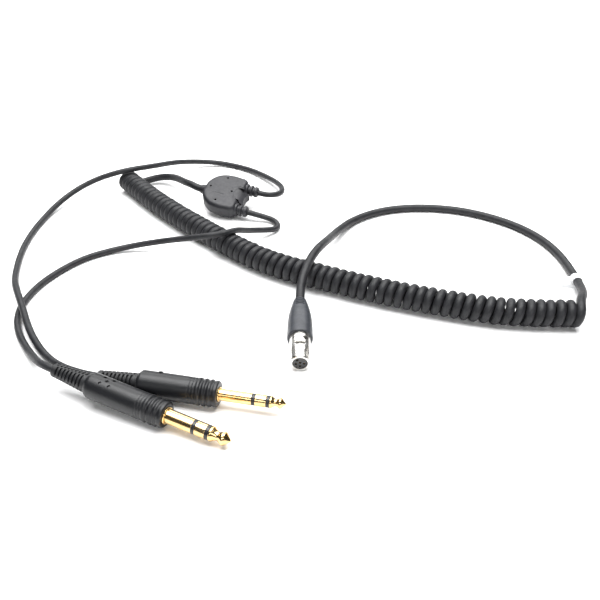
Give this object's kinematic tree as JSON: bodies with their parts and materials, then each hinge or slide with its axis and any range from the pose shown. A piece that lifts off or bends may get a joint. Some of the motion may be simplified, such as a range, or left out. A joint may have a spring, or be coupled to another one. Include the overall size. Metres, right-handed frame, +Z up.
{
  "type": "aviation headset down-lead",
  "caption": "Curly cord set lying on a surface: a small latching connector, a coiled cord, a moulded junction, and a headphone plug and a microphone plug with gold contacts.",
  "frame": {"origin": "on the surface it lies on, under the middle of the box round the two plugs, the junction and the connector", "axes": "+Z up from the surface; the connector's nose points along -Y, and the curly cord runs from the junction towards +X"},
  "size_m": [0.3143, 0.2818, 0.0236],
  "materials": {
    "cord_pvc": "matte",
    "label_white": "satin",
    "relief_rubber": "matte",
    "handle_plastic": "satin",
    "plug_gold": "polished",
    "insulator_black": "satin",
    "boot_rubber": "satin",
    "connector_nickel": "polished",
    "insert_black": "satin",
    "contact_gold": "polished",
    "steel": "satin",
    "wire_copper": "satin",
    "junction_plastic": "satin",
    "core_plastic": "matte"
  },
  "bodies": {
    "cord_set": {"cable_label": "label_white", "coil_cord": "cord_pvc", "connector_boot": "boot_rubber", "connector_contacts": "contact_gold", "connector_cord_clamp": "steel", "connector_cord_end": "cord_pvc", "connector_insert": "insert_black", "connector_latch_pin": "steel", "connector_latch_spring": "steel", "connector_lead": "cord_pvc", "connector_screw": "steel", "connector_shell": "connector_nickel", "connector_wires": "wire_copper", "headphone_collar": "plug_gold", "headphone_cord_clamp": "steel", "headphone_cord_end": "cord_pvc", "headphone_front_insulator": "insulator_black", "headphone_handle": "handle_plastic", "headphone_lead": "cord_pvc", "headphone_rear_insulator": "insulator_black", "headphone_ring": "plug_gold", "headphone_sleeve": "plug_gold", "headphone_strain_relief": "relief_rubber", "headphone_terminals": "steel", "headphone_tip": "plug_gold", "headphone_wires": "wire_copper", "junction_cord_ends": "cord_pvc", "junction_core": "core_plastic", "junction_lead": "cord_pvc", "junction_overmould": "junction_plastic", "junction_splices": "steel", "junction_wires": "wire_copper", "microphone_collar": "plug_gold", "microphone_cord_clamp": "steel", "microphone_cord_end": "cord_pvc", "microphone_front_insulator": "insulator_black", "microphone_handle": "handle_plastic", "microphone_lead": "cord_pvc", "microphone_rear_insulator": "insulator_black", "microphone_ring": "plug_gold", "microphone_sleeve": "plug_gold", "microphone_strain_relief": "relief_rubber", "microphone_terminals": "steel", "microphone_tip": "plug_gold", "microphone_wires": "wire_copper"},
    "latch": {"connector_latch": "connector_nickel"}
  },
  "joints": [
    {"name": "latch_press", "type": "hinge", "parent": "cord_set", "child": "latch", "pos_m": [0.051, -0.056, 0.00956], "axis": [1, 0, 0], "range_deg": [0, 4], "stiffness_Nm_per_rad": 0.1}
  ]
}
